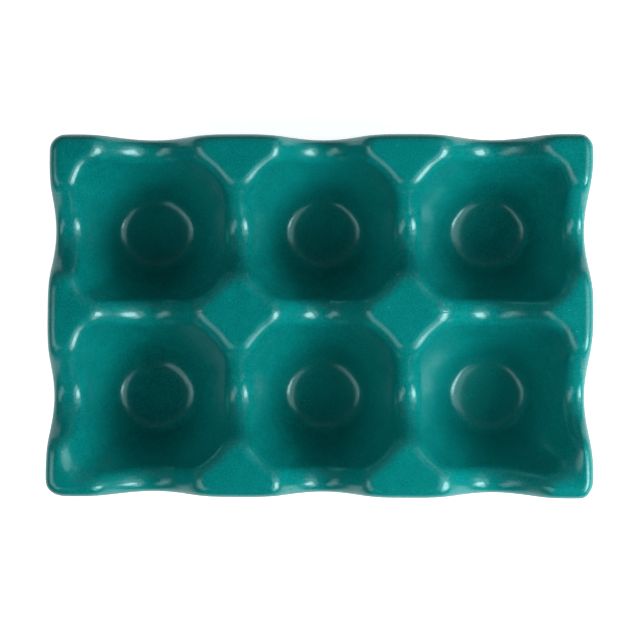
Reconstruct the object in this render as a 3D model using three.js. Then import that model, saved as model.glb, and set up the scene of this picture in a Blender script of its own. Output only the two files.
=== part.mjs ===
// A glazed stoneware tray that holds eggs upright in two rows of wells, on soft foot pads.
// Millimetres, +Z up: X runs along the rows, -Y is the front, and Z = 0 is the table.
//
// The stoneware is one pressed shell. Its top skin has the wells, the ridges between them and the
// flat-topped posts at their corners. Its under skin follows the wells like an egg carton, hollow
// below the posts. A rounded rim joins the two skins. Under each well a pad is glued in a recess.

import * as THREE from 'three';
import { LoftGeometry } from 'three/addons/geometries/LoftGeometry.js';
import { mergeGeometries, mergeVertices } from 'three/addons/utils/BufferGeometryUtils.js';

// Plan of the tray
const columnNames = ['left', 'middle', 'right'];
const rowNames = ['front', 'back'];
const pitchX = 50; // well to well along a row
const pitchY = 49; // row to row
const rimX = 6.3; // rim beyond the cells of the end wells
const rimY = 5.1; // rim beyond the cells of the front and back wells
const cornerRadius = 4; // the tray's four corners, in plan
const scallopX = 2.8; // how far the end rims draw in beside a well
const scallopY = 1.9; // how far the front and back rims draw in beside a well
const scallopSpan = 21; // from the middle of a scallop to its end

// Wells, ridges and posts
const wellDepth = 34.4; // flat top of a post down to the middle of a well floor
const floorX = 11.4; // half length of the oval floor along a row, to the crease where the wall starts
const floorY = 10.4; // half width of the oval floor
const floorDish = 1.4; // rise of the dished floor from its middle to the crease
const floorDishPower = 3; // higher is a flatter middle
const wallBow = 0.06; // how far a well's wall bows out, as a share of its run and of its rise
const mouthRound = 3.5; // reach of the rounding on each side of a mouth's edge
const mouthFlare = 1.6; // how much further out a mouth's edge lies where a ridge has risen to a post
const ridgeWidth = 6.4; // between two neighbouring mouths' edges, where a ridge is lowest
const saddleDrop = 11.6; // sag of a ridge below the posts
const saddleSpan = 13; // from the lowest point of a ridge to the end of its sag
const endSaddleSpan = 16.2; // the same, towards the end rims
const saddleRound = 28; // how round a ridge is at its lowest point
const saddleCorner = 0.7; // softness of the corner where a ridge meets a post
const postHalfDiagonal = 13.4; // middle of a diamond post to its corners, before rounding
const endPostHalfDiagonal = 8.4; // the same, for the posts at the end rims
const mouthCornerPower = 12; // higher is a sharper corner on a mouth's eight sides

// Shell and rim
const wallThickness = 5.2; // wall of a well, measured level
const floorThickness = 5; // middle of a well floor to the roof of the pad's recess
const deckThickness = 7; // below the posts
const ridgeDepth = 14; // below the lowest point of a ridge
const grooveHalf = 1.5; // least half width of the groove under a ridge
const underWallBow = 0.04; // as wallBow, for the outside of a well
const underRound = 4; // reach of the rounding where an outside wall meets the deck
const rimRound = 3.2; // rounding of the rim's top edge
const rimBand = 7; // height of the rim
const rimDraft = THREE.MathUtils.degToRad(20); // lean of the rim's face, inwards going down
const footRadius = 12.6; // foot under a well
const footRound = 1.6; // rounding of the foot's edge

// Foot pads
const padRadius = 6.5;
const padThickness = 1.6;
const padEdge = 0.4; // rounding of the pad's lower edge
const padRecess = 0.7; // depth of the recess in the foot
const padClearance = 0.4; // round the pad, in its recess
const glueFilm = 0.1; // between the pad and the recess roof

// Mesh
const stepsPerSide = 9; // along each side of a well's cell
const floorShares = [0.85, 0.6, 0]; // rings on a floor, as shares of its size
const wallSteps = 3;
const roundSteps = 3;
const padSegments = 24;
const heightHalvings = 24; // of a wall's length, to find where it reaches a height
const weldGap = 1e-3; // points closer than this are one

// Most that a rounding or a flare takes of the room beside it
const topRoom = 0.95;
const underRoom = 0.5;

// Worked out from the sizes above
const columns = columnNames.length;
const rows = rowNames.length;
const halfX = (columns * pitchX) / 2 + rimX;
const halfY = (rows * pitchY) / 2 + rimY;
const lastAcross = columns * stepsPerSide;
const lastAlong = rows * stepsPerSide;
const roofZ = padThickness + glueFilm;
const footZ = roofZ - padRecess;
const floorZ = roofZ + floorThickness;
const postZ = floorZ + wellDepth;
const recessRadius = padRadius + padClearance;
const edgeRound = Math.min(rimRound, cornerRadius * topRoom);
const lowerInset = (rimBand - edgeRound) * Math.tan(rimDraft);
const flare = Math.min(mouthFlare, (ridgeWidth / 2) * topRoom);
const mouthX = (pitchX - ridgeWidth) / 2;
const mouthY = (pitchY - ridgeWidth) / 2;
const mouthCorner = (pitchX + pitchY) / 2 - postHalfDiagonal;
const endMouthCorner = (pitchX + pitchY) / 2 - endPostHalfDiagonal;

const glaze = new THREE.MeshStandardMaterial({ color: 0x007d78, roughness: 0.32, metalness: 0 });
const padRubber = new THREE.MeshStandardMaterial({ color: 0xc9c7bf, roughness: 0.7, metalness: 0 });
glaze.name = 'teal_glaze';
padRubber.name = 'pad_rubber';

const wellX = (column) => (column - (columns - 1) / 2) * pitchX;
const wellY = (row) => (row - (rows - 1) / 2) * pitchY;

// Whether a place lies beyond the middles of the end wells
const atEnd = (x) => Math.abs(x) > wellX(columns - 1);

// Offset of a coordinate from the nearest well's middle
function fromWell(value, pitch, count) {
  const last = (count - 1) / 2;
  const index = THREE.MathUtils.clamp(Math.round(value / pitch + last), 0, count - 1);
  return value - (index - last) * pitch;
}

// 1 at the middle of a scallop in the outline, falling smoothly to 0 at its end
function scallop(offset) {
  return Math.cos((Math.PI / 2) * Math.min(Math.abs(offset) / scallopSpan, 1)) ** 2;
}

// 1 at the lowest point of a ridge, falling along a hyperbola to a soft corner and 0 at its end
function sag(offset, span) {
  const rise = Math.hypot(saddleRound, offset) - saddleRound;
  const wholeRise = Math.hypot(saddleRound, span) - saddleRound;
  const left = saddleDrop * (1 - rise / wholeRise);
  return (left + Math.hypot(left, saddleCorner)) / (2 * saddleDrop);
}

const sagAlongX = (x) => sag(fromWell(x, pitchX, columns), atEnd(x) ? endSaddleSpan : saddleSpan);

const sagAlongY = (y) => sag(fromWell(y, pitchY, rows), saddleSpan);

// How far the ridges sag at a point of the deck: 1 at a ridge's lowest point, 0 on the posts
const ridgeSag = (x, y) => sagAlongX(x) + sagAlongY(y);

const deckZ = (x, y) => postZ - saddleDrop * ridgeSag(x, y);

const ceilingZ = (x, y) => deckZ(x, y) - deckThickness - (ridgeDepth - deckThickness) * ridgeSag(x, y);

// Coordinates of the steps along the cell lines, with the same number of steps for each cell. Steps
// lie evenly along each ridge's sag, one crosses each half post, and the outermost cross the corners.
function stepsAlong(count, pitch, half, inset, endSpan) {
  const steps = [inset - half, cornerRadius - half];
  for (let cell = 0; cell < count; cell++) {
    const middle = (cell - (count - 1) / 2) * pitch;
    const cornerSteps = Number(cell === 0) + Number(cell === count - 1);
    const sagSteps = stepsPerSide - 2 - cornerSteps;
    const start = cell === 0 ? endSpan : saddleSpan;
    const end = cell === count - 1 ? endSpan : saddleSpan;
    for (let step = 0; step <= sagSteps; step++) {
      steps.push(middle + THREE.MathUtils.lerp(-start, end, step / sagSteps));
    }
    if (cell < count - 1) steps.push(middle + pitch / 2);
  }
  return [...steps, half - cornerRadius, half - inset];
}

const stepX = (step, inset) => stepsAlong(columns, pitchX, halfX, inset, endSaddleSpan)[step];

const stepY = (step, inset) => stepsAlong(rows, pitchY, halfY, inset, saddleSpan)[step];

const onOutline = (across, along) => across % lastAcross === 0 || along % lastAlong === 0;

// A point on the rim: inset from the scalloped outline, and dropped below the deck inside it
function rimPoint(across, along, inset, drop) {
  const x = stepX(across, 0);
  const y = stepY(along, 0);
  const straightX = halfX - cornerRadius;
  const straightY = halfY - cornerRadius;
  const centre = new THREE.Vector2(x, y).clamp(
    new THREE.Vector2(-straightX, -straightY),
    new THREE.Vector2(straightX, straightY),
  );
  const outwards = new THREE.Vector2(x, y).sub(centre).normalize();
  const drawnIn =
    scallopX * Math.abs(outwards.x) * scallop(fromWell(y, pitchY, rows)) +
    scallopY * Math.abs(outwards.y) * scallop(fromWell(x, pitchX, columns));
  const place = (depth) => centre.clone().addScaledVector(outwards, cornerRadius - drawnIn - depth);
  const top = place(edgeRound);
  const point = place(inset);
  return new THREE.Vector3(point.x, point.y, deckZ(top.x, top.y) - drop);
}

// Edge of the top skin at a step on the cell lines
function topEdge(across, along) {
  if (onOutline(across, along)) return rimPoint(across, along, edgeRound, 0);
  const x = stepX(across, edgeRound);
  const y = stepY(along, edgeRound);
  return new THREE.Vector3(x, y, deckZ(x, y));
}

// Edge of the under skin at a step on the cell lines
function underEdge(across, along) {
  if (onOutline(across, along)) return rimPoint(across, along, lowerInset, rimBand);
  const x = stepX(across, lowerInset);
  const y = stepY(along, lowerInset);
  return new THREE.Vector3(x, y, ceilingZ(x, y));
}

// Closed line round a block of cells, counterclockwise from its front left corner
function lineRound(column, row, acrossColumns, acrossRows, pointAt) {
  const left = column * stepsPerSide;
  const front = row * stepsPerSide;
  const right = left + acrossColumns * stepsPerSide;
  const back = front + acrossRows * stepsPerSide;
  const line = [];
  for (let step = left; step < right; step++) line.push(pointAt(step, front));
  for (let step = front; step < back; step++) line.push(pointAt(right, step));
  for (let step = right; step > left; step--) line.push(pointAt(step, back));
  for (let step = back; step > front; step--) line.push(pointAt(left, step));
  return line;
}

// A spoke runs level from a well's middle to a point on its cell's line
function spokeTo(column, row, end) {
  const middle = new THREE.Vector2(wellX(column), wellY(row));
  const run = new THREE.Vector2(end.x, end.y).sub(middle);
  const length = run.length();
  const direction = run.divideScalar(length);
  const at = (distance) => middle.clone().addScaledVector(direction, distance);
  return { direction, length, at, end };
}

// Distance along a spoke to the eight-sided edge of a well's mouth, with soft corners
function mouthDistance({ direction, at }) {
  const across = Math.abs(direction.x);
  const along = Math.abs(direction.y);
  const offX = Math.min((mouthY * across) / along, pitchX / 2);
  const offY = Math.min((mouthX * along) / across, pitchY / 2);
  const x = at(0).x + Math.sign(direction.x) * offX;
  const y = at(0).y + Math.sign(direction.y) * offY;
  const sideX = mouthX + flare * (1 - sagAlongY(y));
  const sideY = mouthY + flare * (1 - sagAlongX(x));
  const corner = atEnd(x) ? endMouthCorner : mouthCorner;
  const sides = [across / sideX, along / sideY, (across + along) / corner];
  const sum = sides.reduce((total, side) => total + side ** mouthCornerPower, 0);
  return sum ** (-1 / mouthCornerPower);
}

// Curve in the plane of a spoke, as (distance, height), that bows out and down from a straight line
function bowedWall(from, to, bow) {
  const control = new THREE.Vector2(
    THREE.MathUtils.lerp(from.x, to.x, 0.5 + bow),
    THREE.MathUtils.lerp(from.y, to.y, 0.5 - bow),
  );
  return new THREE.QuadraticBezierCurve(from, control, to);
}

// Points along part of a curve, ends included
function pointsBetween(curve, start, end, steps) {
  const share = (step) => THREE.MathUtils.lerp(start, end, step / steps);
  return Array.from({ length: steps + 1 }, (_, step) => curve.getPoint(share(step)));
}

// Points that round off a corner along an arc, without the two ends
function roundedCorner(from, corner, to) {
  const turn = corner.clone().sub(from).angleTo(to.clone().sub(corner));
  const points = [];
  for (let step = 1; step < roundSteps; step++) {
    const share = step / roundSteps;
    const weights = [(1 - share) ** 2, 2 * share * (1 - share) * Math.cos(turn / 2), share ** 2];
    const point = new THREE.Vector2();
    [from, corner, to].forEach((end, index) => point.addScaledVector(end, weights[index]));
    points.push(point.divideScalar(weights[0] + weights[1] + weights[2]));
  }
  return points;
}

// Distance along a spoke at which a rising wall reaches a height
function distanceAtHeight(wall, height) {
  let low = 0;
  let high = 1;
  for (let halving = 0; halving < heightHalvings; halving++) {
    const middle = (low + high) / 2;
    if (wall.getPoint(middle).y < height) low = middle;
    else high = middle;
  }
  return wall.getPoint(low).x;
}

// Point of the dished floor along a spoke, at a share of the way from its middle to the crease
function floorPoint({ direction }, share) {
  const crease = 1 / Math.hypot(direction.x / floorX, direction.y / floorY);
  return new THREE.Vector2(crease * share, floorZ + floorDish * share ** floorDishPower);
}

function wellWall(spoke) {
  const distance = mouthDistance(spoke);
  const place = spoke.at(distance);
  return bowedWall(floorPoint(spoke, 1), new THREE.Vector2(distance, deckZ(place.x, place.y)), wallBow);
}

// Top skin along a spoke, from the cell's line in to the well's floor
function topProfile(spoke) {
  const onDeck = (distance) => {
    const place = spoke.at(distance);
    return new THREE.Vector2(distance, deckZ(place.x, place.y));
  };
  const wall = wellWall(spoke);
  const edge = wall.v2;
  const reach = Math.min(mouthRound, (spoke.length - edge.x) * topRoom);
  const deckStart = onDeck(edge.x + reach);
  const wallEnd = 1 - mouthRound / wall.getLength();
  const wallPoints = pointsBetween(wall, wallEnd, 0, wallSteps);
  return [
    new THREE.Vector2(spoke.length, spoke.end.z),
    onDeck((spoke.length + deckStart.x) / 2),
    deckStart,
    ...roundedCorner(deckStart, edge, wallPoints[0]),
    ...wallPoints,
    ...floorShares.map((share) => floorPoint(spoke, share)),
  ];
}

// Under skin along a spoke, from the pad's recess out to the cell's line
function underProfile(spoke) {
  const foot = new THREE.Vector2(footRadius, footZ);
  const inside = wellWall(spoke);
  const below = spoke.at(inside.v2.x);
  const shoulderZ = ceilingZ(below.x, below.y);
  const widest = spoke.length - grooveHalf;
  const shoulderX = Math.min(distanceAtHeight(inside, shoulderZ) + wallThickness, widest);
  const shoulder = new THREE.Vector2(shoulderX, shoulderZ);
  const wall = bowedWall(foot, shoulder, underWallBow);
  const wallStart = footRound / wall.getLength();
  const wallEnd = 1 - underRound / wall.getLength();
  const wallPoints = pointsBetween(wall, wallStart, wallEnd, wallSteps - 1);
  const footEdge = new THREE.Vector2(footRadius - footRound, footZ);
  const end = new THREE.Vector2(spoke.length, spoke.end.z);
  const rounded = Math.min(underRound / shoulder.distanceTo(end), underRoom);
  const deckStart = shoulder.clone().lerp(end, rounded);
  return [
    new THREE.Vector2(0, roofZ),
    new THREE.Vector2(recessRadius, roofZ),
    new THREE.Vector2(recessRadius, footZ),
    footEdge,
    ...roundedCorner(footEdge, foot, wallPoints[0]),
    ...wallPoints,
    ...roundedCorner(wallPoints.at(-1), shoulder, deckStart),
    deckStart,
    end,
  ];
}

// One well's part of a skin: its profile along every spoke of the cell, lofted ring by ring
function wellSkin(column, row, edgeAt, profile) {
  const spokes = lineRound(column, row, 1, 1, edgeAt).map((end) => spokeTo(column, row, end));
  const profiles = spokes.map(profile);
  const rings = profiles[0].map((_, ring) =>
    spokes.map((spoke, index) => {
      const { x: distance, y: height } = profiles[index][ring];
      if (distance === spoke.length) return spoke.end;
      const place = spoke.at(distance);
      return new THREE.Vector3(place.x, place.y, height);
    }),
  );
  return new LoftGeometry(rings);
}

// The rim, lofted from its lower edge round the outline to the edge of the top skin
function rimSkin() {
  const ringAt = (inset, drop) => {
    const pointAt = (across, along) => rimPoint(across, along, inset, drop);
    return lineRound(0, 0, columns, rows, pointAt);
  };
  const rings = [ringAt(lowerInset, rimBand)];
  for (let step = roundSteps; step >= 0; step--) {
    const turn = (step / roundSteps) * (Math.PI / 2);
    rings.push(ringAt(edgeRound * (1 - Math.sin(turn)), edgeRound * (1 - Math.cos(turn))));
  }
  return new LoftGeometry(rings);
}

// Joins skins that share their edges into one closed surface
function joinSkins(skins) {
  for (const skin of skins) {
    skin.deleteAttribute('normal');
    skin.deleteAttribute('uv');
  }
  const joined = mergeVertices(mergeGeometries(skins), weldGap);
  joined.computeVertexNormals();
  return joined;
}

function stonewareTray() {
  const skins = [rimSkin()];
  for (let row = 0; row < rows; row++) {
    for (let column = 0; column < columns; column++) {
      skins.push(wellSkin(column, row, topEdge, topProfile));
      skins.push(wellSkin(column, row, underEdge, underProfile));
    }
  }
  const tray = new THREE.Mesh(joinSkins(skins), glaze);
  tray.name = 'stoneware_tray';
  return tray;
}

function footPad(column, row) {
  const outline = new THREE.Path()
    .moveTo(0, 0)
    .lineTo(padRadius - padEdge, 0)
    .absarc(padRadius - padEdge, padEdge, padEdge, -Math.PI / 2, 0)
    .lineTo(padRadius, padThickness)
    .lineTo(0, padThickness);
  const turned = new THREE.LatheGeometry(outline.getPoints(roundSteps), padSegments).rotateX(Math.PI / 2);
  const pad = new THREE.Mesh(turned, padRubber);
  pad.name = `foot_pad_${rowNames[row]}_${columnNames[column]}`;
  pad.position.set(wellX(column), wellY(row), 0);
  return pad;
}

const eggTray = new THREE.Group();
eggTray.name = 'egg_tray';
eggTray.add(stonewareTray());
for (let row = 0; row < rows; row++) {
  for (let column = 0; column < columns; column++) eggTray.add(footPad(column, row));
}

export default eggTray;
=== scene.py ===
"""Looks of the stoneware egg tray: a smooth glazed tray, its rubber feet, and a plain studio.

The tray repeats the part's own sizes and formulas with many more steps, so it lies where the solid
is. Only the small marks of handwork, which are listed apart, are its own. Sizes are in millimetres
up to the point where a mesh is made, and in metres from there on.
"""
import math

import bmesh
import bpy
import numpy as np
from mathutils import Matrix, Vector


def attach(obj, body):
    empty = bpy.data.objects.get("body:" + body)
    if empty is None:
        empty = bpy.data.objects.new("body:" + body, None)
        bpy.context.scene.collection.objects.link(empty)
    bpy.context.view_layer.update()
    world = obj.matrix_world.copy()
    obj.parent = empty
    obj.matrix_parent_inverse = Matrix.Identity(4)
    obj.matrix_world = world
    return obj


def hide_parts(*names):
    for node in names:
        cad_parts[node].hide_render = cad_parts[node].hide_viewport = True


MM = 0.001

# Plan of the tray
COLUMN_NAMES = ("left", "middle", "right")
ROW_NAMES = ("front", "back")
PITCH_X, PITCH_Y = 50.0, 49.0
RIM_X, RIM_Y = 6.3, 5.1
SCALLOP_SPAN = 21.0

# Wells, ridges and posts
WELL_DEPTH = 34.4
FLOOR_DISH = 1.4
FLOOR_DISH_POWER = 3
WALL_BOW = 0.06
MOUTH_ROUND = 3.5
MOUTH_FLARE = 1.6
RIDGE_WIDTH = 6.4
SADDLE_DROP = 11.6
SADDLE_SPAN = 13.0
SIDE_SADDLE_SPAN = 16.2  # towards the left and right rims
SADDLE_ROUND = 28.0
SADDLE_CORNER = 0.7
POST_HALF_DIAGONAL = 13.4
SIDE_POST_HALF_DIAGONAL = 8.4  # at the left and right rims
MOUTH_CORNER_POWER = 12

# Shell and rim
WALL_THICKNESS = 5.2
FLOOR_THICKNESS = 5.0
DECK_THICKNESS = 7.0
RIDGE_DEPTH = 14.0
GROOVE_HALF = 1.5
UNDER_WALL_BOW = 0.04
UNDER_ROUND = 4.0
RIM_ROUND = 3.2
RIM_BAND = 7.0
RIM_DRAFT = math.radians(20)
FOOT_RADIUS = 12.6
FOOT_ROUND = 1.6

# Most that a rounding takes of the room beside it
MOUTH_ROOM = 0.95
UNDER_ROOM = 0.5

# Rubber feet
PAD_RADIUS = 6.5
PAD_THICKNESS = 1.6
PAD_EDGE = 0.4
PAD_RECESS = 0.7
PAD_CLEARANCE = 0.4
GLUE_FILM = 0.1

# Marks of handwork and mould that only the dressed pieces have
CORNER_RADIUS = 5.5
LEFT_SCALLOP, RIGHT_SCALLOP = 1.3, 3.1
FRONT_SCALLOP, BACK_SCALLOP = 1.3, 1.5
RIM_TRIMS = (  # axis, side, and how far the trimmed rim lies inwards at the two ends of that side
    (0, -1, -0.45, 0.95),
    (0, 1, 1.5, 1.5),
    (1, -1, 0.5, -0.1),
    (1, 1, 0.85, 0.85),
)
ROW_RIDGE_SHIFT = 0.8  # of the ridge between the rows, towards the back
ROW_RIDGE_REACH = 18.0
FLOOR_X, FLOOR_Y = 12.0, 11.4  # half sizes, wider than the solid's floor by room for a rounded crease
CREASE_ROUND = 2.4  # where a well's wall meets its floor
FLOOR_SHIFTS_X = (-0.4, -0.4, -1.3)  # of the floors under their mouths, by column
FLOOR_SHIFTS_Y = (0.8, 0.2)  # by row
FRONT_POST_HALF_DIAGONAL = 5.5  # of the two posts at the front corners, worn almost away
FRONT_MOUTH_FLARE = 3.4
FRONT_MOUTH_ROUND = 6.5
RECESS_BEVEL = 0.15  # on the edges of a foot's recess
RECESS_LIP = 0.6
PAD_BEVEL = 0.15  # on a foot's hidden upper edge
PAD_GROOVE_INNER, PAD_GROOVE_OUTER = 3.2, 4.4  # radii of the moulded groove in a foot's face
PAD_GROOVE_SLOPE = 0.3
PAD_GROOVE_DEPTH = 0.12

# Glaze, bare clay and rubber
GLAZE_IOR = 1.52
GLAZE_REFLECTION = (0.62, 0.98, 1, 1)
GLAZE_ROUGHNESS = (0.17, 0.21)
GLAZE_DEEP = (0.0005, 0.142, 0.134)
GLAZE_POOLED = (0.0009, 0.168, 0.159)
GLAZE_CLOUD = (0.0015, 0.196, 0.186)
GLAZE_GRAIN = (0.0015, 0.225, 0.214)
GLAZE_SPECK = (0.02, 0.30, 0.29)
CLAY_DARK, CLAY_PALE = (0.40, 0.31, 0.22), (0.55, 0.45, 0.34)
CLAY_ADDED_ROUGHNESS = 0.55
WIPED_TOP, WIPED_BOTTOM = 0.0019, 0.0015  # metres, where the glaze ends above a foot
WIPED_WAVE = 0.0004
RUBBER_IOR = 1.45
RUBBER_ROUGHNESS = (0.55, 0.7)
RUBBER_DARK, RUBBER_PALE = (0.52, 0.51, 0.47), (0.62, 0.61, 0.57)
MIX_FIRST, MIX_SECOND, MIX_RESULT = 6, 7, 2  # places of a colour mix's sockets

# Studio, in metres
GROUND_SIZE = 6.0
GROUND_GREY = (0.7, 0.7, 0.7, 1)
GROUND_ROUGHNESS = 0.9
GROUND_GLOW = 0.82
GLOW_COLOUR = (1, 1, 1, 1)
GLOW_FADE = (0.13, 0.30)  # radii where the ground's glow starts to fade, and where it ends
SKY_COLOUR = (0.9, 0.95, 1, 1)
SKY_FADE = (0.78, 0.97)  # heights on a unit sphere where the sky starts to darken, and where it is dark
SKY_TURN = (-0.6, 0.1)  # places on it, front to back, between which the sky brightens
SKY_FRONT, SKY_BACK = 0.04, 0.17
PANELS = (  # name, distance, degrees round from +X, degrees up, width and height, watts
    ("key", 0.45, -7, 28, (0.332, 0.325), 0.82),
    ("key_core", 0.44, -22, 29, (0.21, 0.21), 1.6),
    ("key_side", 0.90, -46, 30, (0.25, 0.34), 1.4),
    ("key_back", 0.45, 33, 28, (0.18, 0.18), 0.08),
    ("key_top", 0.45, -15, 57, (0.415, 0.11), 0.32),
    ("fill", 0.65, 188, 33, (0.40, 0.44), 0.8),
    ("fill_core", 0.64, 190, 35, (0.20, 0.20), 0.2),
    ("fill_side", 0.65, 222, 42, (0.34, 0.34), 0.7),
)

# Camera
CAMERA_DISTANCE = 1.2  # metres
CAMERA_LENS = 228
CAMERA_SENSOR = 36
CAMERA_LEAN_X, CAMERA_LEAN_Y = math.radians(1.4), math.radians(-0.2)
PICTURE_SIZE = 640  # pixels
CAMERA_SHIFT_X, CAMERA_SHIFT_Y = -3, -5.2  # pixels

# Mesh
STEPS = 36  # along each side of a well's cell
CORNER_STEPS = STEPS // 4  # of them at a corner of the tray
DECK_SHARES = (0.2, 0.4, 0.6, 0.8)
MOUTH_STEPS = 10
WALL_RINGS = 18
CREASE_STEPS = 5
FLOOR_RINGS = 12
FOOT_STEPS = 5
UNDER_WALL_RINGS = 12
UNDER_STEPS = 6
UNDER_SHARES = (0.25, 0.5, 0.75)
RIM_BAND_RINGS = 7
RIM_ROUND_RINGS = 9
PAD_SEGMENTS = 64
PAD_EDGE_RINGS = 7
LENGTH_STEPS = 64
HEIGHT_HALVINGS = 24
WELD_GAP = 2e-6  # metres
LEAST_EDGE = 1e-7  # metres
SMOOTH_ROUNDS = 3
SMOOTH_FACTOR = 0.5

# Worked out from the sizes above
COLUMNS, ROWS = len(COLUMN_NAMES), len(ROW_NAMES)
HALF_X = COLUMNS * PITCH_X / 2 + RIM_X
HALF_Y = ROWS * PITCH_Y / 2 + RIM_Y
ROOF_Z = PAD_THICKNESS + GLUE_FILM
FOOT_Z = ROOF_Z - PAD_RECESS
FLOOR_Z = ROOF_Z + FLOOR_THICKNESS
POST_Z = FLOOR_Z + WELL_DEPTH
SADDLE_Z = POST_Z - SADDLE_DROP
RECESS_RADIUS = PAD_RADIUS + PAD_CLEARANCE
LOWER_INSET = (RIM_BAND - RIM_ROUND) * math.tan(RIM_DRAFT)
MOUTH_X = (PITCH_X - RIDGE_WIDTH) / 2
MOUTH_Y = (PITCH_Y - RIDGE_WIDTH) / 2
MOUTH_CORNER = (PITCH_X + PITCH_Y) / 2 - POST_HALF_DIAGONAL
SIDE_MOUTH_CORNER = (PITCH_X + PITCH_Y) / 2 - SIDE_POST_HALF_DIAGONAL
FRONT_MOUTH_CORNER = (PITCH_X + PITCH_Y) / 2 - FRONT_POST_HALF_DIAGONAL


def well_x(column):
    return (column - (COLUMNS - 1) / 2) * PITCH_X


def well_y(row):
    return (row - (ROWS - 1) / 2) * PITCH_Y


def from_well(value, pitch, count):
    """Offset of a coordinate from the nearest well's middle."""
    last = (count - 1) / 2
    index = np.clip(np.round(value / pitch + last), 0, count - 1)
    return value - (index - last) * pitch


def eased(share):
    """A share from 0 to 1 with a soft start and end."""
    return share**2 * (3 - 2 * share)


def scallop(offset):
    """1 at the middle of a scallop in the outline, falling smoothly to 0 at its end."""
    share = np.clip(np.abs(offset) / SCALLOP_SPAN, 0, 1)
    return np.cos(np.pi * share / 2) ** 2


def at_side(x):
    """Whether a place lies outside the middles of the outermost columns."""
    return np.abs(x) > well_x(COLUMNS - 1)


def sag(offset, span):
    """1 at the lowest point of a ridge, falling along a hyperbola to a soft corner with 0 at its end."""
    rise = np.hypot(SADDLE_ROUND, offset) - SADDLE_ROUND
    whole = np.hypot(SADDLE_ROUND, span) - SADDLE_ROUND
    left = SADDLE_DROP * (1 - rise / whole)
    return (left + np.hypot(left, SADDLE_CORNER)) / (2 * SADDLE_DROP)


def sag_along_x(x):
    span = np.where(at_side(x), SIDE_SADDLE_SPAN, SADDLE_SPAN)
    return sag(from_well(x, PITCH_X, COLUMNS), span)


def sag_along_y(y):
    return sag(from_well(y, PITCH_Y, ROWS), SADDLE_SPAN)


def ridge_sag(x, y):
    return sag_along_x(x) + sag_along_y(y)


def deck_z(x, y):
    return POST_Z - SADDLE_DROP * ridge_sag(x, y)


def ceiling_z(x, y):
    return deck_z(x, y) - DECK_THICKNESS - (RIDGE_DEPTH - DECK_THICKNESS) * ridge_sag(x, y)


def cell_steps(count, pitch, half, inset):
    """Coordinates along the cell lines, the same number in each cell, with some across the corners."""
    lines = [(index - count / 2) * pitch for index in range(1, count)]
    lines = [CORNER_RADIUS - half] + lines + [half - CORNER_RADIUS]
    turn = np.sin(np.linspace(0, np.pi / 2, CORNER_STEPS + 1))
    edge = half - CORNER_RADIUS + (CORNER_RADIUS - inset) * turn
    parts = [-edge[:0:-1]]
    for cell in range(count):
        steps = STEPS - CORNER_STEPS * ((cell == 0) + (cell == count - 1))
        parts.append(np.linspace(lines[cell], lines[cell + 1], steps, endpoint=False))
    return np.concatenate(parts + [edge])


def line_round(column, row, columns, rows):
    """Steps round a block of cells, counterclockwise from its front left corner."""
    left, right = column * STEPS, (column + columns) * STEPS
    front, back = row * STEPS, (row + rows) * STEPS
    line = [(step, front) for step in range(left, right)]
    line += [(right, step) for step in range(front, back)]
    line += [(step, back) for step in range(right, left, -1)]
    line += [(left, step) for step in range(back, front, -1)]
    return np.array(line)


def rim_points(steps, inset, drop):
    """Points on the rim: inset from the scalloped outline, and dropped below the deck inside it."""
    x = cell_steps(COLUMNS, PITCH_X, HALF_X, 0)[steps[:, 0]]
    y = cell_steps(ROWS, PITCH_Y, HALF_Y, 0)[steps[:, 1]]
    sharp = np.stack([x, y], axis=1)
    straight = np.array([HALF_X - CORNER_RADIUS, HALF_Y - CORNER_RADIUS])
    centre = np.clip(sharp, -straight, straight)
    outwards = sharp - centre
    outwards /= np.linalg.norm(outwards, axis=1, keepdims=True)
    depth_x = np.where(x < 0, LEFT_SCALLOP, RIGHT_SCALLOP)
    depth_y = np.where(y < 0, FRONT_SCALLOP, BACK_SCALLOP)
    drawn_in = depth_x * np.abs(outwards[:, 0]) * scallop(from_well(y, PITCH_Y, ROWS))
    drawn_in += depth_y * np.abs(outwards[:, 1]) * scallop(from_well(x, PITCH_X, COLUMNS))
    top = centre + outwards * (CORNER_RADIUS - drawn_in - RIM_ROUND)[:, None]
    place = centre + outwards * (CORNER_RADIUS - drawn_in - inset)[:, None]
    return np.column_stack([place, deck_z(top[:, 0], top[:, 1]) - drop])


def rim_rings():
    """Rings of the rim, from its lower edge up and over its rounded top."""
    outline = line_round(0, 0, COLUMNS, ROWS)
    rings = []
    for drop in np.linspace(RIM_BAND, RIM_ROUND, RIM_BAND_RINGS):
        inset = (drop - RIM_ROUND) * math.tan(RIM_DRAFT)
        rings.append(rim_points(outline, inset, drop))
    for turn in np.linspace(np.pi / 2, 0, RIM_ROUND_RINGS)[1:]:
        inset = RIM_ROUND * (1 - math.sin(turn))
        drop = RIM_ROUND * (1 - math.cos(turn))
        rings.append(rim_points(outline, inset, drop))
    return rings


def skin_edge(steps, inset, drop, height):
    """Edge of a skin along the cell lines: the rim's own points on the outline."""
    x = cell_steps(COLUMNS, PITCH_X, HALF_X, inset)[steps[:, 0]]
    y = cell_steps(ROWS, PITCH_Y, HALF_Y, inset)[steps[:, 1]]
    edge = np.column_stack([x, y, height(x, y)])
    outer = (steps[:, 0] % (COLUMNS * STEPS) == 0) | (steps[:, 1] % (ROWS * STEPS) == 0)
    edge[outer] = rim_points(steps[outer], inset, drop)
    return edge


def bezier(start, control, end, share):
    return (1 - share) ** 2 * start + 2 * share * (1 - share) * control + share**2 * end


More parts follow.
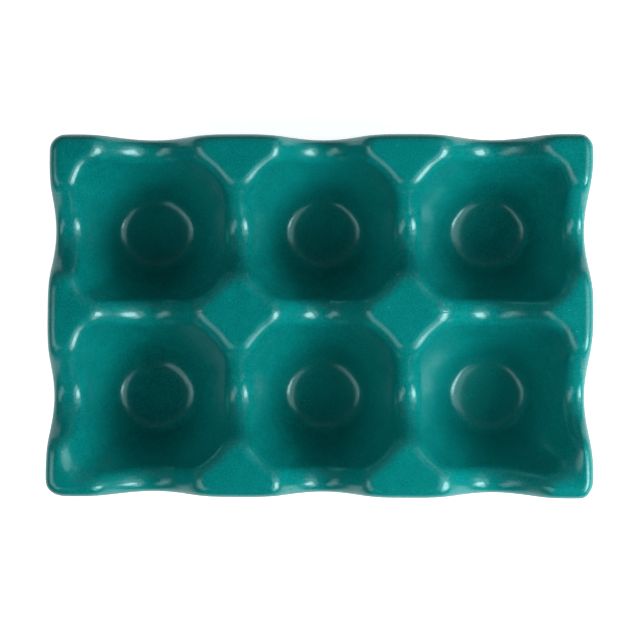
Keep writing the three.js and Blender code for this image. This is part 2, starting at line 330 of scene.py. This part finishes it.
class Wall:
    """A wall along every spoke at once, as (distance, height), bowed out and down."""

    def __init__(self, start, end, bow):
        self.start, self.end = start, end
        self.control = start + (end - start) * np.array([0.5 + bow, 0.5 - bow])
        path = np.array([self.at(share) for share in np.linspace(0, 1, LENGTH_STEPS + 1)])
        self.length = np.linalg.norm(np.diff(path, axis=0), axis=2).sum(axis=0)

    def at(self, share):
        share = np.reshape(share, (-1, 1)) if np.ndim(share) else share
        return bezier(self.start, self.control, self.end, share)

    def distance_at(self, height):
        low, high = np.zeros(len(height)), np.ones(len(height))
        for _ in range(HEIGHT_HALVINGS):
            middle = (low + high) / 2
            below = self.at(middle)[:, 1] < height
            low, high = np.where(below, middle, low), np.where(below, high, middle)
        return self.at(low)[:, 0]


class Spokes:
    """Level lines from a well's middle to points on its cell's line."""

    def __init__(self, column, row, edge):
        self.middle = np.array([well_x(column), well_y(row)])
        self.edge = edge
        run = edge[:, :2] - self.middle
        self.length = np.linalg.norm(run, axis=1)
        self.direction = run / self.length[:, None]
        self.set_mouth()

    def set_mouth(self):
        """Finds how far out the mouth's edge lies along each spoke, and how wide it is rounded."""
        across, along = np.abs(self.direction).T
        with np.errstate(divide="ignore"):
            off_x = np.minimum(MOUTH_Y * across / along, PITCH_X / 2)
            off_y = np.minimum(MOUTH_X * along / across, PITCH_Y / 2)
        x = self.middle[0] + np.copysign(off_x, self.direction[:, 0])
        y = self.middle[1] + self.direction[:, 1] * PITCH_Y / 2
        at_front = at_side(x) & (y < well_y(0))
        rise_x, rise_y = 1 - sag(off_y, SADDLE_SPAN), 1 - sag_along_x(x)
        flare = np.where(at_front, FRONT_MOUTH_FLARE, MOUTH_FLARE)
        side_x, side_y = MOUTH_X + flare * rise_x, MOUTH_Y + flare * rise_y
        corner = np.where(at_side(x), SIDE_MOUTH_CORNER, MOUTH_CORNER)
        corner = np.where(at_front, FRONT_MOUTH_CORNER, corner)
        sides = [across / side_x, along / side_y, (across + along) / corner]
        total = sum(side**MOUTH_CORNER_POWER for side in sides)
        self.mouth = total ** (-1 / MOUTH_CORNER_POWER)
        worn = np.where(at_front, rise_x * rise_y, 0)
        self.mouth_round = MOUTH_ROUND + (FRONT_MOUTH_ROUND - MOUTH_ROUND) * worn

    def at(self, distance):
        return self.middle + self.direction * np.reshape(distance, (-1, 1))

    def on(self, distance, height):
        place = self.at(distance)
        return np.column_stack([distance, height(place[:, 0], place[:, 1])])

    def end(self):
        return np.column_stack([self.length, self.edge[:, 2]])

    def level(self, distance, height):
        return np.tile([float(distance), float(height)], (len(self.length), 1))

    def floor(self, inset, share=1.0):
        """A ring on the dished floor: inset from its edge, then at a share of what is left."""
        edge = 1 / np.hypot(self.direction[:, 0] / FLOOR_X, self.direction[:, 1] / FLOOR_Y)
        distance = (edge - inset) * share
        rise = FLOOR_DISH * (distance / edge) ** FLOOR_DISH_POWER
        return np.column_stack([distance, FLOOR_Z + rise])

    def well_wall(self):
        return Wall(self.floor(0), self.on(self.mouth, deck_z), WALL_BOW)


def rounded(start, corner, end, steps):
    """Rings that round off a corner along an arc, without the two ends."""
    first, second = corner - start, end - corner
    lengths = np.linalg.norm(first, axis=1) * np.linalg.norm(second, axis=1)
    turn = np.arccos(np.clip((first * second).sum(axis=1) / lengths, -1, 1))
    pull = np.cos(turn / 2)[:, None]
    rings = []
    for share in np.linspace(0, 1, steps + 1)[1:-1]:
        weights = (1 - share) ** 2, 2 * share * (1 - share) * pull, share**2
        ring = weights[0] * start + weights[1] * corner + weights[2] * end
        rings.append(ring / sum(weights))
    return rings


def top_profile(spokes):
    """Rings of the top skin, from the cell's line in to the well's floor."""
    wall = spokes.well_wall()
    edge = wall.end
    reach = np.minimum(spokes.mouth_round, (spokes.length - edge[:, 0]) * MOUTH_ROOM)
    deck_start = spokes.on(edge[:, 0] + reach, deck_z)
    high = 1 - spokes.mouth_round / wall.length
    low = CREASE_ROUND / wall.length
    shares = np.linspace(0, 1, WALL_RINGS)
    wall_rings = [wall.at(high + (low - high) * share) for share in shares]
    rings = [spokes.end()]
    for share in DECK_SHARES:
        distance = spokes.length + (deck_start[:, 0] - spokes.length) * share
        rings.append(spokes.on(distance, deck_z))
    rings.append(deck_start)
    rings += rounded(deck_start, edge, wall_rings[0], MOUTH_STEPS)
    rings += wall_rings
    rings += rounded(wall_rings[-1], wall.start, spokes.floor(CREASE_ROUND), CREASE_STEPS)
    rings += [spokes.floor(CREASE_ROUND, share) for share in np.linspace(1, 0, FLOOR_RINGS)]
    return rings


def recess_rings(spokes):
    """Rings of a foot's recess, from the middle of its roof out to the foot's face."""
    section = [
        (0, ROOF_Z),
        (RECESS_RADIUS / 2, ROOF_Z),
        (RECESS_RADIUS - RECESS_BEVEL, ROOF_Z),
        (RECESS_RADIUS, ROOF_Z - RECESS_BEVEL),
        (RECESS_RADIUS, FOOT_Z + RECESS_BEVEL),
        (RECESS_RADIUS + RECESS_BEVEL, FOOT_Z),
        (RECESS_RADIUS + RECESS_LIP, FOOT_Z),
    ]
    return [spokes.level(radius, height) for radius, height in section]


def under_profile(spokes):
    """Rings of the under skin, from the foot's recess out to the cell's line."""
    inside = spokes.well_wall()
    shoulder_z = spokes.on(inside.end[:, 0], ceiling_z)[:, 1]
    thick = inside.distance_at(shoulder_z) + WALL_THICKNESS
    shoulder = np.column_stack([np.minimum(thick, spokes.length - GROOVE_HALF), shoulder_z])
    foot = spokes.level(FOOT_RADIUS, FOOT_Z)
    foot_edge = spokes.level(FOOT_RADIUS - FOOT_ROUND, FOOT_Z)
    wall = Wall(foot, shoulder, UNDER_WALL_BOW)
    low, high = FOOT_ROUND / wall.length, 1 - UNDER_ROUND / wall.length
    shares = np.linspace(0, 1, UNDER_WALL_RINGS)
    wall_rings = [wall.at(low + (high - low) * share) for share in shares]
    end = spokes.end()
    run = np.linalg.norm(end - shoulder, axis=1)
    deck_start = shoulder + (end - shoulder) * np.minimum(UNDER_ROUND / run, UNDER_ROOM)[:, None]
    rings = recess_rings(spokes) + [foot_edge]
    rings += rounded(foot_edge, foot, wall_rings[0], FOOT_STEPS) + wall_rings
    rings += rounded(wall_rings[-1], shoulder, deck_start, UNDER_STEPS) + [deck_start]
    rings += [deck_start + (end - deck_start) * share for share in UNDER_SHARES]
    return rings + [end]


def trimmed(points):
    """Moves points level, as handwork does: the rim on each side, and the ridge between the rows."""
    halves, rims = (HALF_X, HALF_Y), (RIM_X, RIM_Y)
    moved = points.copy()
    for axis, side, first, last in RIM_TRIMS:
        share = np.clip((side * points[:, axis] - halves[axis] + rims[axis]) / rims[axis], 0, 1)
        along = np.clip(points[:, 1 - axis] / halves[1 - axis], -1, 1)
        trim = first + (last - first) * (1 + along) / 2
        moved[:, axis] -= side * trim * eased(share)
    share = np.clip(1 - np.abs(points[:, 1]) / ROW_RIDGE_REACH, 0, 1)
    moved[:, 1] += ROW_RIDGE_SHIFT * eased(share)
    return moved


class Surface:
    """Points and quads of skins that share their edges."""

    def __init__(self):
        self.points, self.quads, self.count = [], [], 0

    def loft(self, rings):
        """Adds closed rings of points, in an order that makes the faces look outwards."""
        per_ring = len(rings[0])
        here = np.arange(per_ring)
        after = (here + 1) % per_ring
        for ring in range(len(rings) - 1):
            low, high = self.count + ring * per_ring, self.count + (ring + 1) * per_ring
            self.quads.append(np.column_stack([low + here, low + after, high + after, high + here]))
        self.points += rings
        self.count += per_ring * len(rings)

    def well_skin(self, column, row, edge, profile, shift=(0, 0)):
        """Adds a skin of one well, shifted level by a share that grows from its mouth to its floor."""
        spokes = Spokes(column, row, edge)
        rings = []
        for ring in profile(spokes):
            share = np.clip((SADDLE_Z - ring[:, 1]) / (SADDLE_Z - FLOOR_Z), 0, 1)
            place = spokes.at(ring[:, 0]) + np.outer(share, shift)
            rings.append(np.column_stack([place, ring[:, 1]]))
        self.loft(rings)

    def mesh(self, name, smooth_rounds=0):
        """Makes a welded mesh of the skins, smoothed a little where asked."""
        mesh = bpy.data.meshes.new(name)
        points = np.concatenate(self.points) * MM
        mesh.from_pydata(points.tolist(), [], np.concatenate(self.quads).tolist())
        work = bmesh.new()
        work.from_mesh(mesh)
        bmesh.ops.remove_doubles(work, verts=work.verts, dist=WELD_GAP)
        bmesh.ops.dissolve_degenerate(work, edges=work.edges, dist=LEAST_EDGE)
        axes = dict(use_axis_x=True, use_axis_y=True, use_axis_z=True)
        for _ in range(smooth_rounds):
            bmesh.ops.smooth_vert(work, verts=work.verts, factor=SMOOTH_FACTOR, **axes)
        work.to_mesh(mesh)
        work.free()
        mesh.shade_smooth()
        return mesh


def add(name, mesh, material, node):
    """Places a dressed piece in the scene, in place of its node."""
    piece = bpy.data.objects.new(name, mesh)
    bpy.context.scene.collection.objects.link(piece)
    mesh.materials.append(material)
    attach(piece, "root")
    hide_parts(node)


def make_tray(material):
    surface = Surface()
    surface.loft(rim_rings())
    for row in range(ROWS):
        for column in range(COLUMNS):
            line = line_round(column, row, 1, 1)
            top_edge = skin_edge(line, RIM_ROUND, 0, deck_z)
            under_edge = skin_edge(line, LOWER_INSET, RIM_BAND, ceiling_z)
            shift = FLOOR_SHIFTS_X[column], FLOOR_SHIFTS_Y[row]
            surface.well_skin(column, row, top_edge, top_profile, shift)
            surface.well_skin(column, row, under_edge, under_profile)
    surface.points = [trimmed(ring) for ring in surface.points]
    mesh = surface.mesh("tray", SMOOTH_ROUNDS)
    add("glazed_tray", mesh, material, "stoneware_tray")


def foot_profile():
    """Half section of a turned foot as (radius, height), from the middle of its face to that of its top."""
    profile = [(0, 0), (PAD_GROOVE_INNER, 0)]
    profile.append((PAD_GROOVE_INNER + PAD_GROOVE_SLOPE, PAD_GROOVE_DEPTH))
    profile.append((PAD_GROOVE_OUTER - PAD_GROOVE_SLOPE, PAD_GROOVE_DEPTH))
    profile.append((PAD_GROOVE_OUTER, 0))
    for turn in np.linspace(-np.pi / 2, 0, PAD_EDGE_RINGS):
        radius = PAD_RADIUS - PAD_EDGE * (1 - math.cos(turn))
        profile.append((radius, PAD_EDGE * (1 + math.sin(turn))))
    profile.append((PAD_RADIUS, PAD_THICKNESS - PAD_BEVEL))
    profile.append((PAD_RADIUS - PAD_BEVEL, PAD_THICKNESS))
    profile.append((0, PAD_THICKNESS))
    return profile


def make_foot(column, row, material):
    """A turned rubber foot: soft lower edge, flat face with a shallow moulded groove."""
    angle = np.arange(PAD_SEGMENTS) * 2 * np.pi / PAD_SEGMENTS
    circle = np.column_stack([np.cos(angle), np.sin(angle)])
    middle = np.array([well_x(column), well_y(row)])
    rings = []
    for radius, height in foot_profile():
        rings.append(np.column_stack([middle + radius * circle, np.full(PAD_SEGMENTS, height)]))
    surface = Surface()
    surface.loft(rings)
    name = f"{ROW_NAMES[row]}_{COLUMN_NAMES[column]}"
    add(f"rubber_foot_{name}", surface.mesh("foot"), material, f"foot_pad_{name}")


def set_inputs(node, **values):
    """Sets a node's inputs by their names, with _ for a space."""
    for key, value in values.items():
        node.inputs[key.replace("_", " ")].default_value = value


class Nodes:
    """Short calls for building a material's node tree."""

    def __init__(self, name):
        self.material = bpy.data.materials.new(name)
        self.material.use_nodes = True
        self.tree = self.material.node_tree
        self.shader = self.tree.nodes["Principled BSDF"]
        self.place = self.add("ShaderNodeTexCoord").outputs["Object"]

    def add(self, kind, **settings):
        node = self.tree.nodes.new(kind)
        for key, value in settings.items():
            setattr(node, key, value)
        return node

    def link(self, source, target):
        self.tree.links.new(source, target)

    def drive(self, output, name):
        """Links an output to the shader's input of that name."""
        self.link(output, self.shader.inputs[name])

    def noise(self, scale, detail=2.0, rough=0.5):
        node = self.add("ShaderNodeTexNoise")
        set_inputs(node, Scale=scale, Detail=detail, Roughness=rough)
        self.link(self.place, node.inputs["Vector"])
        return node.outputs["Fac"]

    def span(self, value, low, high, to_low=0.0, to_high=1.0):
        """Maps a value smoothly from one span to another."""
        node = self.add("ShaderNodeMapRange", interpolation_type="SMOOTHSTEP")
        set_inputs(node, From_Min=low, From_Max=high, To_Min=to_low, To_Max=to_high)
        self.link(value, node.inputs["Value"])
        return node.outputs["Result"]

    def mix(self, share, first, second):
        node = self.add("ShaderNodeMix", data_type="RGBA")
        for key, colour in ((MIX_FIRST, first), (MIX_SECOND, second)):
            if isinstance(colour, tuple):
                node.inputs[key].default_value = (*colour, 1)
            else:
                self.link(colour, node.inputs[key])
        self.link(share, node.inputs[0])
        return node.outputs[MIX_RESULT]

    def math(self, operation, first, second):
        node = self.add("ShaderNodeMath", operation=operation)
        for key, value in ((0, first), (1, second)):
            if isinstance(value, (int, float)):
                node.inputs[key].default_value = value
            else:
                self.link(value, node.inputs[key])
        return node.outputs[0]

    def bump(self, height, strength, distance, normal=None):
        node = self.add("ShaderNodeBump")
        set_inputs(node, Strength=strength, Distance=distance)
        self.link(height, node.inputs["Height"])
        if normal is not None:
            self.link(normal, node.inputs["Normal"])
        return node.outputs["Normal"]


def glaze_material():
    """Teal glaze with pooled, cloudy and grainy colour, wiped off the clay at the feet."""
    nodes = Nodes("teal_glaze")
    set_inputs(nodes.shader, IOR=GLAZE_IOR, Specular_Tint=GLAZE_REFLECTION)
    pooled = nodes.span(nodes.noise(scale=28, detail=3), low=0.35, high=0.65)
    colour = nodes.mix(pooled, GLAZE_DEEP, GLAZE_POOLED)
    cloud = nodes.span(nodes.noise(scale=260, detail=4, rough=0.6), low=0.45, high=0.75)
    colour = nodes.mix(cloud, colour, GLAZE_CLOUD)
    grain = nodes.span(nodes.noise(scale=1800, detail=2, rough=0.6), low=0.35, high=0.75)
    colour = nodes.mix(grain, colour, GLAZE_GRAIN)
    speck = nodes.span(nodes.noise(scale=1100, detail=1), low=0.74, high=0.80)
    colour = nodes.mix(speck, colour, GLAZE_SPECK)
    place = nodes.add("ShaderNodeSeparateXYZ")
    nodes.link(nodes.place, place.inputs[0])
    wave = nodes.span(nodes.noise(scale=120), 0, 1, -WIPED_WAVE, WIPED_WAVE)
    height = nodes.math("ADD", place.outputs["Z"], wave)
    bare = nodes.span(height, WIPED_TOP, WIPED_BOTTOM)
    clay = nodes.mix(nodes.noise(scale=700, detail=5, rough=0.7), CLAY_DARK, CLAY_PALE)
    nodes.drive(nodes.mix(bare, colour, clay), "Base Color")
    satin = nodes.span(nodes.noise(scale=60, detail=3), 0.3, 0.7, *GLAZE_ROUGHNESS)
    dull = nodes.math("MULTIPLY", bare, CLAY_ADDED_ROUGHNESS)
    nodes.drive(nodes.math("ADD", satin, dull), "Roughness")
    waviness = nodes.bump(nodes.noise(scale=90), strength=0.12, distance=0.00025)
    pitting = nodes.noise(scale=1500)
    nodes.drive(nodes.bump(pitting, strength=0.12, distance=0.00004, normal=waviness), "Normal")
    return nodes.material


def rubber_material():
    nodes = Nodes("pad_rubber")
    set_inputs(nodes.shader, IOR=RUBBER_IOR)
    nodes.drive(nodes.mix(nodes.noise(scale=300, detail=4), RUBBER_DARK, RUBBER_PALE), "Base Color")
    matt = nodes.span(nodes.noise(scale=400, detail=3), 0.3, 0.7, *RUBBER_ROUGHNESS)
    nodes.drive(matt, "Roughness")
    nodes.drive(nodes.bump(nodes.noise(scale=2500), strength=0.3, distance=0.00005), "Normal")
    return nodes.material


def ground_material():
    """A pale ground that glows round the tray, so that it is white there."""
    nodes = Nodes("studio_floor")
    set_inputs(nodes.shader, Base_Color=GROUND_GREY, Roughness=GROUND_ROUGHNESS)
    set_inputs(nodes.shader, Emission_Color=GLOW_COLOUR)
    away = nodes.add("ShaderNodeVectorMath", operation="LENGTH")
    nodes.link(nodes.place, away.inputs[0])
    nodes.drive(nodes.span(away.outputs["Value"], *GLOW_FADE, GROUND_GLOW, 0.0), "Emission Strength")
    return nodes.material


def make_ground():
    bpy.ops.mesh.primitive_plane_add(size=GROUND_SIZE)
    floor = bpy.context.object
    floor.name = "studio_floor"
    floor.data.materials.append(ground_material())


def make_sky():
    """A faint sky that is dark overhead, and darker at the front than at the back."""
    world = bpy.data.worlds.new("studio")
    world.use_nodes = True
    nodes, links = world.node_tree.nodes, world.node_tree.links
    sky = nodes["Background"]
    set_inputs(sky, Color=SKY_COLOUR)
    towards = nodes.new("ShaderNodeSeparateXYZ")
    links.new(nodes.new("ShaderNodeTexCoord").outputs["Generated"], towards.inputs[0])
    side = nodes.new("ShaderNodeMapRange")
    set_inputs(side, From_Min=SKY_TURN[0], From_Max=SKY_TURN[1], To_Min=SKY_FRONT, To_Max=SKY_BACK)
    links.new(towards.outputs["Y"], side.inputs["Value"])
    haze = nodes.new("ShaderNodeMapRange")
    set_inputs(haze, From_Min=SKY_FADE[0], From_Max=SKY_FADE[1], To_Max=0.0)
    links.new(towards.outputs["Z"], haze.inputs["Value"])
    links.new(side.outputs["Result"], haze.inputs["To Min"])
    links.new(haze.outputs["Result"], sky.inputs["Strength"])
    bpy.context.scene.world = world


def make_panel(name, distance, azimuth, elevation, size, power):
    """A soft light panel that faces the tray, at an angle round it from +X and an angle above it."""
    turn, rise = math.radians(azimuth), math.radians(elevation)
    level = math.cos(rise)
    away = Vector((math.cos(turn) * level, math.sin(turn) * level, math.sin(rise)))
    data = bpy.data.lights.new(name, "AREA")
    data.shape = "RECTANGLE"
    data.size, data.size_y = size
    data.energy = power
    lamp = bpy.data.objects.new(name, data)
    lamp.location = Vector((0, 0, POST_Z * MM)) + away * distance
    lamp.rotation_euler = (-away).to_track_quat("-Z", "Y").to_euler()
    bpy.context.scene.collection.objects.link(lamp)


def make_camera():
    data = bpy.data.cameras.new("camera")
    data.sensor_width = CAMERA_SENSOR
    data.lens = CAMERA_LENS
    data.shift_x = CAMERA_SHIFT_X / PICTURE_SIZE
    data.shift_y = CAMERA_SHIFT_Y / PICTURE_SIZE
    camera = bpy.data.objects.new("camera", data)
    target = Vector((0, 0, SADDLE_Z * MM))
    lean = Vector((CAMERA_LEAN_X, CAMERA_LEAN_Y, 1))
    camera.location = target + lean * CAMERA_DISTANCE
    camera.rotation_euler = (-lean.y, lean.x, 0)
    bpy.context.scene.collection.objects.link(camera)
    bpy.context.scene.camera = camera


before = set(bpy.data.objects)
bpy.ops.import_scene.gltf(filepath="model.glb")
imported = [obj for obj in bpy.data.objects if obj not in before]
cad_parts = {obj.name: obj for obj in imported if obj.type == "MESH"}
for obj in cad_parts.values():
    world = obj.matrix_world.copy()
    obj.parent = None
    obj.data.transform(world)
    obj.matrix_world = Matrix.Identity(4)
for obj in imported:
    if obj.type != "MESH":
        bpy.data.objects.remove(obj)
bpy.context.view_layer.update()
make_tray(glaze_material())
rubber = rubber_material()
for foot_row in range(ROWS):
    for foot_column in range(COLUMNS):
        make_foot(foot_column, foot_row, rubber)
make_ground()
make_sky()
for panel in PANELS:
    make_panel(*panel)
make_camera()
bpy.context.scene.view_settings.view_transform = "Standard"
